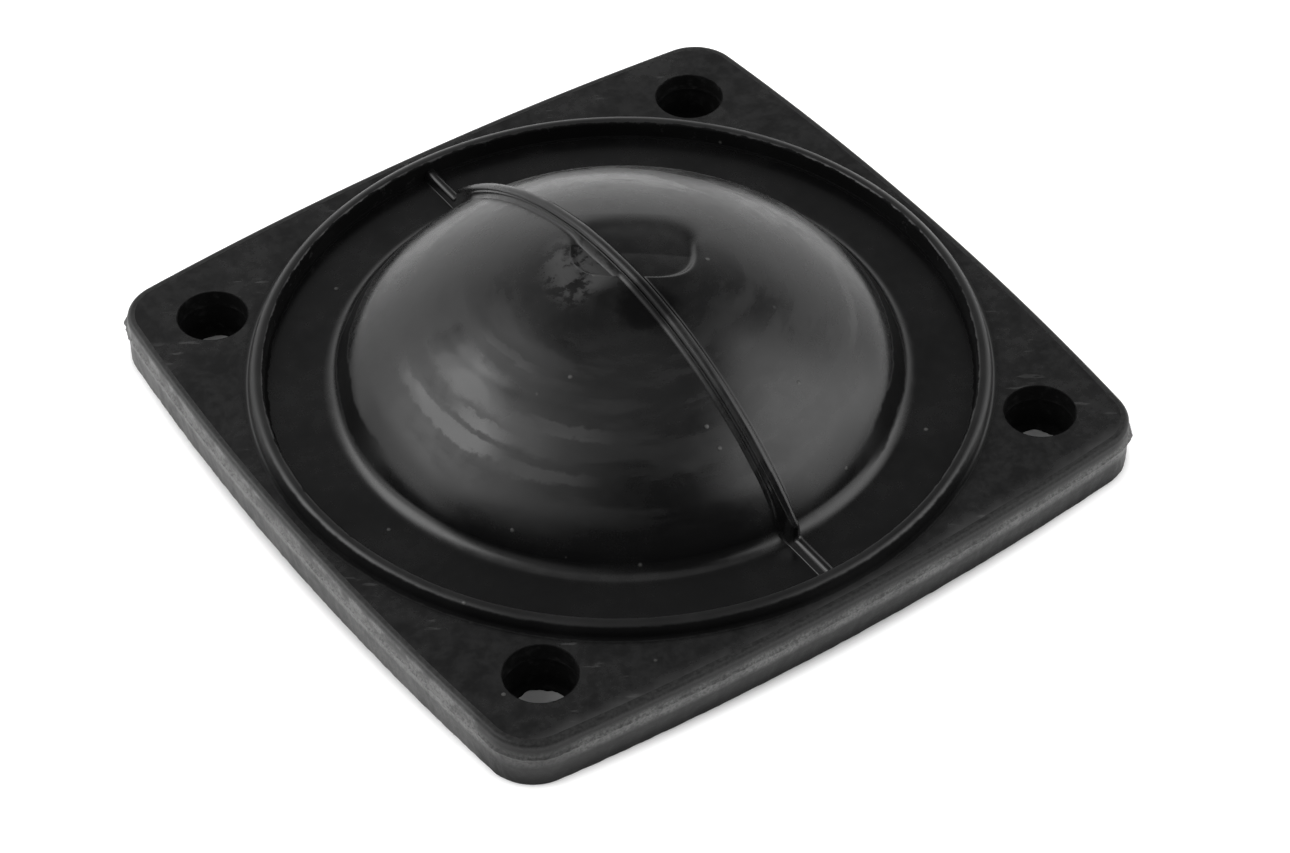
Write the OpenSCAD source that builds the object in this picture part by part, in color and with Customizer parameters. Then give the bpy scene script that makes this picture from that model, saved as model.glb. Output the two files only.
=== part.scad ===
// Rubber diaphragm for a weir valve: a square bolting flange round a domed membrane,
// with a sealing ring, a sealing bead over the dome and a moulded-in stud behind it.
// Origin: centre of the flange's back face. +Z: from the back face to the domed, wetted side.

/* [Flange] */
// Width across the middles of two opposite sides, without the flash
flange_w = 72.2; // [62:0.1:90]
// How far each side bows outward between its corners
side_bow = 1.85; // [1.2:0.05:2.6]
// Radius of each corner
corner_r = 4.65; // [3.5:0.05:7]
// Thickness of the flange
flange_t = 5.2; // [4.4:0.1:7]
// Height of the mould's parting line above the back face
parting_z = 3.5; // [2:0.1:3.8]
// How far the flash stands out at the parting line
flash_w = 0.2; // [0.05:0.05:0.4]
// Thickness of the flash
flash_t = 0.3; // [0.1:0.05:0.4]
// Draft of the edge from the parting line up to the face
edge_draft = 0.05; // [0.05:0.05:0.4]
// Rounding between the edge and the face
edge_r = 0.45; // [0.2:0.05:0.6]
// Rounding between the edge and the back
back_edge_r = 0.25; // [0.1:0.05:0.5]

/* [Bolt holes] */
// How far each hole's centre lies inside the flange's width
hole_inset = 8.6; // [7:0.1:9.5]
// Bore of each hole
hole_d = 6.6; // [5:0.1:7.4]

/* [Sealing ring] */
// Distance from the edge of each hole to the ring's outer wall
ring_gap = 1.25; // [0.6:0.05:2.5]
// Width of the ring between its walls
ring_w = 1.4; // [1.2:0.1:2]
// Height of the ring above the flange's face
ring_h = 1.25; // [0.6:0.05:1.6]
// Rounding of the ring's crest
ring_crest_r = 0.5; // [0.1:0.05:0.55]
// Fillet at the foot of the ring
ring_foot_r = 0.3; // [0.1:0.05:0.4]
// Depth of the annulus inside the ring below the flange's face
recess = 0.55; // [0.2:0.05:1]
// Width of the flat annulus from the ring's inner wall to the dome's foot
annulus_w = 5.05; // [3:0.05:7]

/* [Dome] */
// Height of the dome above the flange's face
dome_h = 12.3; // [10:0.1:15]
// Radius of the dome's shoulder, where its crown bends down to the foot
shoulder_r = 10; // [6:0.5:14]
// Fillet between the dome and the annulus
dome_foot_r = 1.85; // [1:0.05:2.5]
// Thickness of the membrane
dome_wall = 3.2; // [2.4:0.1:4]
// Rounding of the hollow's mouth at the back face
mouth_r = 1.5; // [0.5:0.1:2.5]
// Diameter of the sunk disc that the stud's head leaves on the dome
imprint_d = 12.4; // [9:0.2:16]
// Depth of the sunk disc
imprint_depth = 0.15; // [0.05:0.05:0.3]

/* [Sealing bead] */
// Width of the bead between its walls
bead_w = 1.3; // [1:0.1:2.4]
// Height of the bead above the annulus
bead_h = 0.9; // [0.7:0.05:1.2]
// Height of the bead above the top of the dome
bead_top_h = 0.85; // [0.7:0.05:1.2]
// Step from the bead on the annulus up to the end of the bead on the dome
bead_step = 1.2; // [0.6:0.1:2]
// Rounding of the bead's crest
bead_crest_r = 0.3; // [0.1:0.05:0.45]
// Fillet along the foot of the bead
bead_foot_r = 0.55; // [0.2:0.05:0.7]

/* [Boss] */
// Diameter of the boss that holds the stud
boss_d = 16; // [14.5:0.5:20]
// Height of the boss's end above the flange's back face
boss_z = 9.2; // [8:0.2:11]
// Rounding of the boss's end
boss_edge_r = 0.8; // [0.3:0.1:1.5]
// Fillet between the boss and the inside of the dome
boss_foot_r = 1.5; // [0.6:0.1:2.5]

/* [Stud] */
// Outer diameter of the stud's thread
stud_d = 6; // [4:0.5:8]
// Diameter of the stud's plain neck, above the thread
neck_d = 5.3; // [3.4:0.1:6]
// Length of the neck between the thread and the boss
neck_l = 0.6; // [0.4:0.1:1.5]
// Height of the stud's free end above the flange's back face
stud_end_z = 1.6; // [0.5:0.1:4]
// Chamfer at the stud's free end
stud_chamfer = 0.7; // [0.3:0.1:1]
// Diameter of the stud's head inside the boss
head_d = 11.6; // [9:0.2:13]
// Thickness of the stud's head
head_t = 1.8; // [1:0.1:2.4]
// Rounding of the head's rim
head_rim_r = 0.5; // [0.2:0.1:0.8]
// Rubber over the stud's head at the top of the dome
head_cover = 2.4; // [1.4:0.1:3]

/* [Hidden] */

// Facets on a full turn: revolved forms, small roundings and the sides' large arcs
turn_fn = 180;
round_fn = 48;
side_fn = 720;

// Overlap that joins one form to the next inside the rubber
sink = 0.5;
// Length by which a cut runs past what it cuts
past = 1;
// Depth by which a rounding dips into the surfaces it blends, so that they meet in a clean edge
dip = 0.002;

// Outline: each side is an arc about a far centre, each corner a circle that touches two arcs
half_w = flange_w / 2;
corner_half = half_w - side_bow;
side_r = (pow(corner_half, 2) + pow(side_bow, 2)) / (2 * side_bow);
side_centre = side_r - half_w;
corner_reach = side_r - corner_r;
corner_centre = (sqrt(2 * pow(corner_reach, 2) - pow(side_centre, 2)) - side_centre) / 2;
corner_from = atan2(corner_centre, corner_centre + side_centre);
corner_to = 90 - corner_from;
// Extra radius of the corner's circle, so that it crosses the sides' arcs
corner_dip = 2 * dip;

hole_spacing = flange_w - 2 * hole_inset;
ring_r = hole_spacing / sqrt(2) - hole_d / 2 - ring_gap - ring_w / 2;
annulus_z = flange_t - recess;
foot_x = ring_r - ring_w / 2 - annulus_w;

// Crown of the dome: a sphere through the apex and the foot circle
apex_z = flange_t + dome_h;
dome_rise = apex_z - annulus_z;
dome_r = (pow(foot_x, 2) + pow(dome_rise, 2)) / (2 * dome_rise);
dome_z = apex_z - dome_r;
hollow_r = dome_r - dome_wall;

// Centre of the fillet at the dome's foot, its distance and direction from the crown's centre
foot_z = annulus_z + dome_foot_r - dip;
foot_reach = norm([foot_x, foot_z - dome_z]);
foot_angle = atan2(foot_z - dome_z, foot_x);

// Centre of the shoulder's arc, which bends on from the crown and runs out into the foot fillet
shoulder_dip = 5 * dip;
shoulder_in = dome_r - shoulder_r + shoulder_dip;
shoulder_out = shoulder_r + dome_foot_r - dip;
shoulder_along = (pow(shoulder_in, 2) - pow(shoulder_out, 2) + pow(foot_reach, 2)) / (2 * foot_reach);
shoulder_angle = foot_angle + acos(shoulder_along / shoulder_in);
shoulder_x = shoulder_in * cos(shoulder_angle);
shoulder_z = dome_z + shoulder_in * sin(shoulder_angle);
shoulder_foot_angle = atan2(foot_z - shoulder_z, foot_x - shoulder_x);
// Angle by which the shoulder's arc laps over the crown
shoulder_lap = 10;

// Crest of the bead over the dome: an arc through its top and its two ends at the dome's foot
crest_top_z = apex_z + bead_top_h;
crest_rise = crest_top_z - annulus_z - bead_h - bead_step;
crest_r = (pow(foot_x, 2) + pow(crest_rise, 2)) / (2 * crest_rise);
crest_z = crest_top_z - crest_r;
crest_from = acos((foot_x + 2 * past) / crest_r);
// How deep the bead over the dome reaches below its crest
crest_depth = bead_top_h + bead_step + sink;

// The bead's straight runs start inside the dome and end inside the ring
bead_start = foot_x - dome_foot_r;
bead_end = ring_r - ring_w / 2 + sink;
// Depth by which the fillets along the bead dip into the annulus, the shoulder and the crown.
// The dome falls away under them on both sides, so they reach deeper there.
bead_dip = 10 * dip;
bead_shoulder_dip = 3 * bead_dip;
bead_crown_dip = 4 * bead_dip;
// Lengths by which the bead's fillets on the crown and on the shoulder run past the line between the two
bead_crown_lap = 0.3;
bead_shoulder_lap = 1.5;

// Centre of the rounding at the hollow's mouth
mouth_z = mouth_r - dip;
mouth_x = sqrt(pow(hollow_r + mouth_r - dip, 2) - pow(mouth_z - dome_z, 2));
mouth_angle = atan2(mouth_z - dome_z, mouth_x);

// Centre of the fillet between the boss and the hollow
boss_foot_x = boss_d / 2 + boss_foot_r - dip;
boss_foot_z = dome_z + sqrt(pow(hollow_r - boss_foot_r + dip, 2) - pow(boss_foot_x, 2));
boss_foot_angle = atan2(boss_foot_z - dome_z, boss_foot_x);

head_top_z = apex_z - imprint_depth - head_cover;
head_low_z = head_top_z - head_t;

function polar(r, angle) = [r * cos(angle), r * sin(angle)];

// Angle that a length takes up on an arc
function degrees(length, r) = length / r * 180 / PI;

// A square corner piece whose outer corner is rounded away; its corner is at the origin
module rounding(r) {
    difference() {
        translate([-r, -r])
            square(r + past);
        translate([-r, -r])
            circle(r, $fn = round_fn);
    }
}

// Half section of a disc with the flange's edge: rounded back, flash, draft and rounded face
module edge_section(r) {
    face_r = r - edge_draft;
    difference() {
        polygon([
            [0, 0],
            [r, 0],
            [r, parting_z - flash_t / 2],
            [r + flash_w, parting_z],
            [r, parting_z + flash_t / 2],
            [face_r, flange_t - edge_r],
            [face_r, flange_t],
            [0, flange_t]
        ]);
        translate([r, 0])
            mirror([0, 1])
                rounding(back_edge_r);
        translate([face_r, flange_t])
            rounding(edge_r);
    }
}

// Flange with bowed sides, its corners cut back to a circle that touches both sides
module flange_plate() {
    corner_cut = 3 * corner_r;
    difference() {
        intersection_for (turn = [0:90:270])
            rotate([0, 0, turn])
                translate([-side_centre, 0, 0])
                    rotate_extrude($fn = side_fn)
                        edge_section(side_r);
        for (turn = [0:90:270])
            rotate([0, 0, turn])
                translate([corner_centre, corner_centre, 0])
                    difference() {
                        translate([0, 0, -past])
                            linear_extrude(flange_t + 2 * past)
                                polygon([
                                    [0, 0],
                                    polar(corner_cut, corner_from),
                                    [corner_cut, corner_cut],
                                    polar(corner_cut, corner_to)
                                ]);
                        rotate_extrude($fn = turn_fn)
                            edge_section(corner_r + corner_dip);
                    }
    }
}

module bolt_holes() {
    for (x = [-1, 1], y = [-1, 1])
        translate([x * hole_spacing / 2, y * hole_spacing / 2, -past])
            cylinder(h = flange_t + 2 * past, d = hole_d, $fn = turn_fn);
}

// Fillet between a floor along x and a wall along y that meet at the origin
module foot_fillet(r) {
    difference() {
        translate([-sink, -sink])
            square(r + sink);
        translate([r, r])
            circle(r, $fn = round_fn);
    }
}

// Half section of the sealing ring, rooted in the flange
module ring_section() {
    crest_z = flange_t + ring_h;
    difference() {
        translate([ring_r - ring_w / 2, annulus_z - sink])
            square([ring_w, crest_z - annulus_z + sink]);
        translate([ring_r + ring_w / 2, crest_z])
            rounding(ring_crest_r);
        translate([ring_r - ring_w / 2, crest_z])
            mirror([1, 0])
                rounding(ring_crest_r);
    }
    translate([ring_r + ring_w / 2, flange_t])
        foot_fillet(ring_foot_r);
    translate([ring_r - ring_w / 2, annulus_z])
        mirror([1, 0])
            foot_fillet(ring_foot_r);
}

// Half section of the solid dome: its crown, its shoulder and the fillet at its foot
module dome_section() {
    crown_centre = [0, dome_z];
    shoulder_centre = [shoulder_x, shoulder_z];
    intersection() {
        translate(crown_centre)
            circle(dome_r, $fn = side_fn);
        polygon([
            [0, annulus_z - sink],
            shoulder_centre,
            crown_centre + polar(2 * dome_r, shoulder_angle),
            [0, 2 * dome_r]
        ]);
    }
    intersection() {
        translate(shoulder_centre)
            circle(shoulder_r, $fn = side_fn);
        polygon([
            shoulder_centre,
            shoulder_centre + polar(2 * shoulder_r, shoulder_foot_angle),
            shoulder_centre + polar(2 * shoulder_r, shoulder_angle + shoulder_lap)
        ]);
    }
    difference() {
        polygon([
            [0, annulus_z - sink],
            [foot_x, annulus_z - sink],
            [foot_x, foot_z],
            shoulder_centre + polar(shoulder_r - sink, shoulder_foot_angle),
            [0, apex_z - dome_wall / 2]
        ]);
        translate([foot_x, foot_z])
            circle(dome_foot_r, $fn = round_fn);
    }
}

// Half section of the boss with the fillet at its root
module boss_section() {
    boss_r = boss_d / 2;
    difference() {
        translate([0, boss_z])
            square([boss_r, apex_z - boss_z]);
        translate([boss_r, boss_z])
            mirror([0, 1])
                rounding(boss_edge_r);
    }
    difference() {
        polygon([
            [boss_r - sink, boss_foot_z],
            [boss_foot_x, boss_foot_z],
            [0, dome_z] + polar(hollow_r + sink, boss_foot_angle),
            [boss_r - sink, apex_z]
        ]);
        translate([boss_foot_x, boss_foot_z])
            circle(boss_foot_r, $fn = round_fn);
    }
}

// Half section of the hollow under the dome, round the boss, with a rounded mouth
module hollow_section() {
    mouth_cut = mouth_x - 3 * mouth_r;
    difference() {
        intersection() {
            translate([0, dome_z])
                circle(hollow_r, $fn = side_fn);
            translate([0, -past])
                square([dome_r, apex_z]);
        }
        boss_section();
    }
    difference() {
        polygon([
            [0, dome_z] + polar(hollow_r - sink, mouth_angle),
            [mouth_x, mouth_z],
            [mouth_x, -past],
            [mouth_cut, -past]
        ]);
        translate([mouth_x, mouth_z])
            circle(mouth_r, $fn = round_fn);
    }
}

// Half section of the disc that lies sunk in the top of the dome
module imprint_section() {
    difference() {
        translate([0, apex_z - dome_wall / 2])
            square([imprint_d / 2, dome_wall]);
        translate([0, dome_z])
            circle(dome_r - imprint_depth, $fn = side_fn);
    }
}

// Half section of everything that is round in the rubber: ring, annulus, dome, hollow and boss
module crown_section() {
    difference() {
        union() {
            square([ring_r + sink / 2, annulus_z]);
            ring_section();
            dome_section();
        }
        hollow_section();
        imprint_section();
        stud_section();
    }
}

// Cross section of the bead's body: x runs across it and y up to its crest, which is at the origin
module crest_section(depth) {
    difference() {
        translate([-bead_w / 2, -depth])
            square([bead_w, depth]);
        for (side = [0, 1])
            mirror([side, 0])
                translate([bead_w / 2, 0])
                    rounding(bead_crest_r);
    }
}

// Cross section of the two fillets along the bead, which dip below the surface they stand on
module bead_foot_section(below) {
    reach = bead_w / 2 - bead_dip + bead_foot_r;
    difference() {
        translate([-reach, -sink])
            square([2 * reach, bead_foot_r - below + sink]);
        for (side = [-1, 1])
            translate([side * reach, bead_foot_r - below])
                circle(bead_foot_r, $fn = round_fn);
    }
}

// Sweeps a cross section in the plane x = 0, about a centre, from one angle to another
module sweep_over(centre_y, centre_z, r, from, to) {
    translate([0, centre_y, centre_z])
        rotate([90, 0, 90])
            rotate([0, 0, from])
                rotate_extrude(angle = to - from, $fn = side_fn)
                    translate([r, 0])
                        rotate(-90)
                            children();
}

// Bead over the dome, its ends cut upright at the dome's foot
module dome_bead() {
    crown_end = shoulder_angle - degrees(bead_crown_lap, dome_r);
    intersection() {
        sweep_over(0, crest_z, crest_r, crest_from, 180 - crest_from)
            crest_section(crest_depth);
        translate([-bead_w, -foot_x, 0])
            cube([2 * bead_w, 2 * foot_x, crest_top_z + past]);
    }
    sweep_over(0, dome_z, dome_r, crown_end, 180 - crown_end)
        bead_foot_section(bead_crown_dip);
    for (side = [0, 1])
        mirror([0, side, 0])
            sweep_over(
                shoulder_x,
                shoulder_z,
                shoulder_r,
                shoulder_foot_angle - degrees(bead_shoulder_lap, shoulder_r),
                shoulder_angle + degrees(bead_shoulder_lap, shoulder_r)
            )
                bead_foot_section(bead_shoulder_dip);
}

// Bead across the annulus to the ring on both sides
module annulus_bead() {
    for (side = [0, 1])
        mirror([0, side, 0])
            translate([0, bead_end, annulus_z])
                rotate([90, 0, 0])
                    linear_extrude(bead_end - bead_start) {
                        translate([0, bead_h])
                            crest_section(bead_h + sink);
                        bead_foot_section(bead_dip);
                    }
}

// One rubber moulding: flange, sealing ring, domed membrane, sealing bead and boss
module diaphragm() {
    color("#1c1c1e")
        difference() {
            union() {
                difference() {
                    flange_plate();
                    translate([0, 0, -past])
                        cylinder(h = flange_t + 2 * past, r = ring_r - sink / 2, $fn = turn_fn);
                }
                rotate_extrude($fn = turn_fn)
                    crown_section();
                dome_bead();
                annulus_bead();
            }
            bolt_holes();
        }
}

// Half section of the stud: a flat head with a rounded rim, a neck, and a thread with a chamfered end
module stud_section() {
    stud_r = stud_d / 2;
    neck_r = neck_d / 2;
    thread_z = boss_z - neck_l;
    difference() {
        polygon([
            [0, stud_end_z],
            [stud_r - stud_chamfer, stud_end_z],
            [stud_r, stud_end_z + stud_chamfer],
            [stud_r, thread_z],
            [neck_r, thread_z + stud_r - neck_r],
            [neck_r, head_low_z],
            [head_d / 2, head_low_z],
            [head_d / 2, head_top_z],
            [0, head_top_z]
        ]);
        translate([head_d / 2, head_top_z])
            rounding(head_rim_r);
    }
}

// Metal stud: its head is buried in the boss, its threaded shank stands free in the hollow
module stud() {
    color("#b9bcc0")
        rotate_extrude($fn = turn_fn)
            stud_section();
}

diaphragm();
stud();
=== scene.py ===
"""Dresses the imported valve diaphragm: moulded black rubber with its flash and marks, and a threaded stud.

Lengths in this script are millimetres; they become metres where a mesh, a lamp or the camera is made.
"""

import math

import bpy
import numpy as np
from mathutils import Matrix, Vector, noise
from mathutils.geometry import delaunay_2d_cdt


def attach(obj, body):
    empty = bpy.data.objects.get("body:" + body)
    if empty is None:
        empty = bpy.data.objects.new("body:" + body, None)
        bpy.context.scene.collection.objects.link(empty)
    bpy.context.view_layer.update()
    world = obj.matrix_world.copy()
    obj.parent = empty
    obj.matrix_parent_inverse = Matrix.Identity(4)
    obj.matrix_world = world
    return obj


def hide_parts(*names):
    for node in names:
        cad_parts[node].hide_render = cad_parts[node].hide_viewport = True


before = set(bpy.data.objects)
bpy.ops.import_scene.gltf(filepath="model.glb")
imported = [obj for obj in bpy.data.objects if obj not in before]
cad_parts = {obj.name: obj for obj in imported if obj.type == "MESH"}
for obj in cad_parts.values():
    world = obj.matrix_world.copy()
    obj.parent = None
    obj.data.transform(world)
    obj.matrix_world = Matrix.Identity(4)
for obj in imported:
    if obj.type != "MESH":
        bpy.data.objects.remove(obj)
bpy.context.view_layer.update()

MM = 0.001

# The photograph's camera, solved from the flange's outline
CAMERA_FOCAL_PX = 3808.0
PHOTO_WIDTH_PX = 1290
SENSOR_MM = 36.0
CAMERA_AZIMUTH = -34.73
CAMERA_ELEVATION = 44.75
CAMERA_ROLL = -0.575
CAMERA_DISTANCE = 356.1
CAMERA_SHIFT_RIGHT = 2.237
CAMERA_SHIFT_UP = -2.213

# Flange
HALF_W = 36.1
SIDE_BOW = 1.85
CORNER_R = 4.65
FLANGE_T = 5.2
PARTING_Z = 3.5
EDGE_R = 0.45
BACK_EDGE_R = 0.25
EDGE_DRAFT = 0.05
SEAM = 0.3

# Flash at the parting line: its even part, what its raggedness adds, and its thickness. Each nib is a longer
# piece near a corner, given by the signs of the corner's X and Y and by its length.
FLASH = 0.1
FLASH_RAGGED = 0.16
FLASH_THICKNESS = 0.1
FLASH_NIBS = (((-1, 1), 0.4), ((1, -1), 0.15))
NIB_WIDTH = 1.3

# Bolt holes
HOLE_AT = 27.5
HOLE_R = 3.3
HOLE_EDGE_R = 0.06
HOLE_WEB = 0.72
HOLE_FLASH = 0.12
HOLE_FLASH_THICKNESS = 0.09
HOLE_SEAM = 0.04
HOLE_POINTS = 144

# Sealing ring
RING_IN = 32.94
RING_OUT = 34.34
RING_TOP = 6.45
RING_CREST_INNER_R = 0.32
RING_CREST_OUTER_R = 0.9
RING_INNER_FOOT_R = 0.08
RING_OUTER_FOOT_R = 0.3
ANNULUS_Z = 4.65
RING_SEAM_IN = 31.0
RING_SEAM_OUT = 35.1

# Dome: its foot's fillet ends a little inside the circle where the crown's sphere would meet the annulus
CROWN_FOOT_X = 27.89
FOOT_X = 27.6
APEX_Z = 17.5
SHOULDER_R = 10.0
DOME_FOOT_R = 1.85
DOME_WALL = 3.2
MOUTH_R = 1.5

# Imprint of the stud's head in the top of the dome, measured right of and behind the apex in the photograph
IMPRINT_RIGHT = 1.3
IMPRINT_BACK = 3.1
IMPRINT_HALF_WIDTH = 5.5
IMPRINT_HALF_DEPTH = 4.5
IMPRINT_SQUARENESS = 3.0
IMPRINT_DEPTH = 0.5
IMPRINT_WALL = 0.13
IMPRINT_LIP = 0.08
IMPRINT_LIP_WIDTH = 1.6

# Sealing bead
BEAD_W = 1.3
BEAD_H = 0.9
BEAD_TOP_H = 0.85
BEAD_STEP = 1.2
BEAD_CREST_R = 0.52
BEAD_FOOT_R = 0.55
BEAD_LOW_FOOT_R = 0.14
BEAD_DRAFT = 0.12
BEAD_SUNK = 0.015
BEAD_END_R = 0.42
BEAD_STEP_FOOT_R = 0.4
BEAD_TURN = -0.38

# Marks on the dome's surface, each an arc round the apex: its radius, its half width, and the angles where it
# starts and ends, in radians from -X towards +Y. Clean ones shine, smeared ones are paler and dull.
CLEAN_MARKS = ((20.9, 0.65, -0.38, 0.36), (16.7, 1.9, -0.36, 0.34), (19.3, 0.5, -0.42, -0.14))
SMEARED_MARKS = (
    (17.6, 0.45, -0.86, -0.5), (21.4, 0.55, -0.8, -0.5), (18.7, 1.3, -0.62, -0.3),
    (13.4, 0.5, -0.35, 0.1), (21.4, 0.5, -2.9, -2.4),
)
CLEAN_ROUGHNESS = 0.14

# The middle of a patch that mirrors less, in front of the imprint: painted shade
SHADE_PATCH_AT = (-0.8, -5.6, APEX_Z - 0.4)

# Radius at which the dome's foot is darkest
DARK_FOOT_R = 25.7

# Heights of the unevenness that a hand-made mould leaves
DOME_WAVES = 0.05
DOME_STREAKS = 0.05
TOP_BUMPS = 0.09
RING_WAVES = 0.02
BEAD_WAVES_ACROSS = 0.035
BEAD_WAVES_UP = 0.03
EDGE_WAVES = 0.05
EDGE_GRAIN = 0.03

# Boss and stud
BOSS_R = 8.0
BOSS_Z = 9.2
BOSS_EDGE_R = 0.8
BOSS_FOOT_R = 1.5
STUD_R = 3.0
STUD_NECK_R = 2.65
STUD_NECK_L = 0.6
STUD_END_Z = 1.6
STUD_CHAMFER = 0.7
THREAD_PITCH = 1.0
THREAD_DEPTH = 0.55

# Towards the camera and to its right, seen from above
FRONT = (-0.57, -0.82)
RIGHT = (0.82, -0.57)

# Colours
RUBBER_BLACK = (0.0026, 0.0026, 0.0027)
# Pale rubber for dust, smears, scuffs and stains, and for a painted highlight at the dome's foot
RUBBER_DUST_AND_HIGHLIGHT = (0.08, 0.08, 0.08)
LINT = (0.06, 0.06, 0.058)
BACK_BLACK = (0.003, 0.003, 0.0031)
# Pale colour of the ground band, and of the painted light on the -X side
EDGE_WORN_AND_LIT = (0.17, 0.17, 0.168)
TALC_GREY = (0.016, 0.016, 0.016)
BORE_BLACK = (0.005, 0.005, 0.005)
ZINC_BRIGHT = (0.62, 0.63, 0.65)
ZINC_DULL = (0.42, 0.42, 0.42)
PAPER = (0.8, 0.8, 0.8)
# Paper under the object, painted darker: painted shade
PAPER_PAINTED_SHADE = (0.62, 0.62, 0.62)
PAPER_GLOW = 0.6

# Soft lights: name, azimuth, elevation, size in metres, level, and whether the rubber mirrors it.
# A level of 1 is as bright as white paper in plain light.
LAMPS = (
    ("softbox_right", -33, 41, (0.54, 0.4), 2.4, True),
    ("softbox_right_low", -33, 13, (0.6, 0.2), 1.4, True),
    ("softbox_left", 141, 43, (0.5, 0.36), 3.6, True),
    ("softbox_left_low", 152, 13, (0.36, 0.2), 1.3, True),
    ("fill", -125, 32, (0.6, 0.4), 1.6, False),
)
LAMP_DISTANCE = 0.6
# Each lamp is three rectangles, one inside the other: their scale and their share of the level
LAMP_LAYERS = ((1.3, 0.25), (1.0, 0.4), (0.7, 0.35))

# The studio's surroundings: even light, the white wall behind the object, and soft glows. A glow has an
# azimuth, an elevation, the cosines of the angles from there where it starts and is full, and a level.
EVEN_LIGHT = 0.04
WALL_LIGHT = 0.9
GLOWS = (
    (CAMERA_AZIMUTH + 90, 42, 0.6, 0.95, 0.1),
    (98, 38, 0.87, 0.98, 0.25),
    (0, 90, 0.9, 0.98, 0.3),
    (180, 50, 0.8, 0.97, 0.35),
)

# Radii and centres that follow from the sizes above
DOME_RISE = APEX_Z - ANNULUS_Z
DOME_R = (CROWN_FOOT_X ** 2 + DOME_RISE ** 2) / (2 * DOME_RISE)
DOME_Z = APEX_Z - DOME_R
HOLLOW_R = DOME_R - DOME_WALL
HOLE_CENTRES = [(x * HOLE_AT, y * HOLE_AT) for x in (-1, 1) for y in (-1, 1)]


def direction(azimuth, elevation):
    """Unit vector towards a place seen from the object: azimuth from +X towards +Y, in degrees."""
    a = math.radians(azimuth)
    e = math.radians(elevation)
    return Vector((math.cos(a) * math.cos(e), math.sin(a) * math.cos(e), math.sin(e)))


# Curves

def arc(centre, radius, start, end, count):
    """Points on an arc from one angle to another, in degrees."""
    angles = np.radians(np.linspace(start, end, count))
    return np.column_stack((centre[0] + radius * np.cos(angles), centre[1] + radius * np.sin(angles)))


def line(start, end, count):
    """Evenly spaced points from start to end."""
    return np.linspace(start, end, count)


def joined(*pieces):
    """One polyline from several, without the points that repeat."""
    points = np.concatenate(pieces)
    steps = np.linalg.norm(np.diff(points, axis=0), axis=1)
    return points[np.concatenate(([True], steps > 1e-4))]


def touching_shoulder():
    """Centre and end angles of the shoulder's arc, which touches the crown's sphere and the foot's fillet."""
    foot = np.array((FOOT_X, ANNULUS_Z + DOME_FOOT_R))
    crown = np.array((0.0, DOME_Z))
    inner = DOME_R - SHOULDER_R
    outer = SHOULDER_R + DOME_FOOT_R
    reach = np.linalg.norm(foot - crown)
    along = (inner ** 2 - outer ** 2 + reach ** 2) / (2 * reach)
    turn = math.atan2(*(foot - crown)[::-1]) + math.acos(along / inner)
    centre = crown + inner * np.array((math.cos(turn), math.sin(turn)))
    end = math.atan2(*(foot - centre)[::-1])
    return centre, math.degrees(turn), math.degrees(end)


def dome_profile():
    """Half section of the dome's outside, from the apex to the flat of the annulus."""
    centre, start, end = touching_shoulder()
    fine = 90 - math.degrees(10.0 / DOME_R)
    return joined(
        arc((0, DOME_Z), DOME_R, 90, fine, 81),
        arc((0, DOME_Z), DOME_R, fine, start, 60),
        arc(centre, SHOULDER_R, start, end, 12),
        arc((FOOT_X, ANNULUS_Z + DOME_FOOT_R), DOME_FOOT_R, end + 180, 270, 16),
        line((FOOT_X, ANNULUS_Z), (RING_SEAM_IN, ANNULUS_Z), 6),
    )


def ring_profile():
    """Half section of the annulus's outer part, the sealing ring and the face just outside it."""
    inner = RING_INNER_FOOT_R
    outer = RING_OUTER_FOOT_R
    near = RING_CREST_INNER_R
    far = RING_CREST_OUTER_R
    return joined(
        line((RING_SEAM_IN, ANNULUS_Z), (RING_IN - inner, ANNULUS_Z), 6),
        arc((RING_IN - inner, ANNULUS_Z + inner), inner, 270, 360, 5),
        line((RING_IN, ANNULUS_Z + inner), (RING_IN, RING_TOP - near), 5),
        arc((RING_IN + near, RING_TOP - near), near, 180, 90, 8),
        line((RING_IN + near, RING_TOP), (RING_OUT - far, RING_TOP), 2),
        arc((RING_OUT - far, RING_TOP - far), far, 90, 8, 18),
        arc((RING_OUT + outer, FLANGE_T + outer), outer, 188, 270, 8),
        line((RING_OUT + outer, FLANGE_T), (RING_SEAM_OUT, FLANGE_T), 3),
    )


def hollow_profile():
    """Half section of the back, from the back face into the hollow and down the boss to the stud."""
    mouth_x = math.sqrt((HOLLOW_R + MOUTH_R) ** 2 - (MOUTH_R - DOME_Z) ** 2)
    mouth_angle = math.degrees(math.atan2(MOUTH_R - DOME_Z, mouth_x))
    foot_x = BOSS_R + BOSS_FOOT_R
    foot_z = DOME_Z + math.sqrt((HOLLOW_R - BOSS_FOOT_R) ** 2 - foot_x ** 2)
    foot_angle = math.degrees(math.atan2(foot_z - DOME_Z, foot_x))
    return joined(
        line((mouth_x + SEAM, 0), (mouth_x, 0), 3),
        arc((mouth_x, MOUTH_R), MOUTH_R, 270, mouth_angle + 180, 12),
        arc((0, DOME_Z), HOLLOW_R, mouth_angle, foot_angle, 40),
        arc((foot_x, foot_z), BOSS_FOOT_R, foot_angle, 180, 14),
        line((BOSS_R, foot_z), (BOSS_R, BOSS_Z + BOSS_EDGE_R), 8),
        arc((BOSS_R - BOSS_EDGE_R, BOSS_Z + BOSS_EDGE_R), BOSS_EDGE_R, 0, -90, 10),
        line((BOSS_R - BOSS_EDGE_R, BOSS_Z), (STUD_NECK_R, BOSS_Z), 12),
    )


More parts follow.
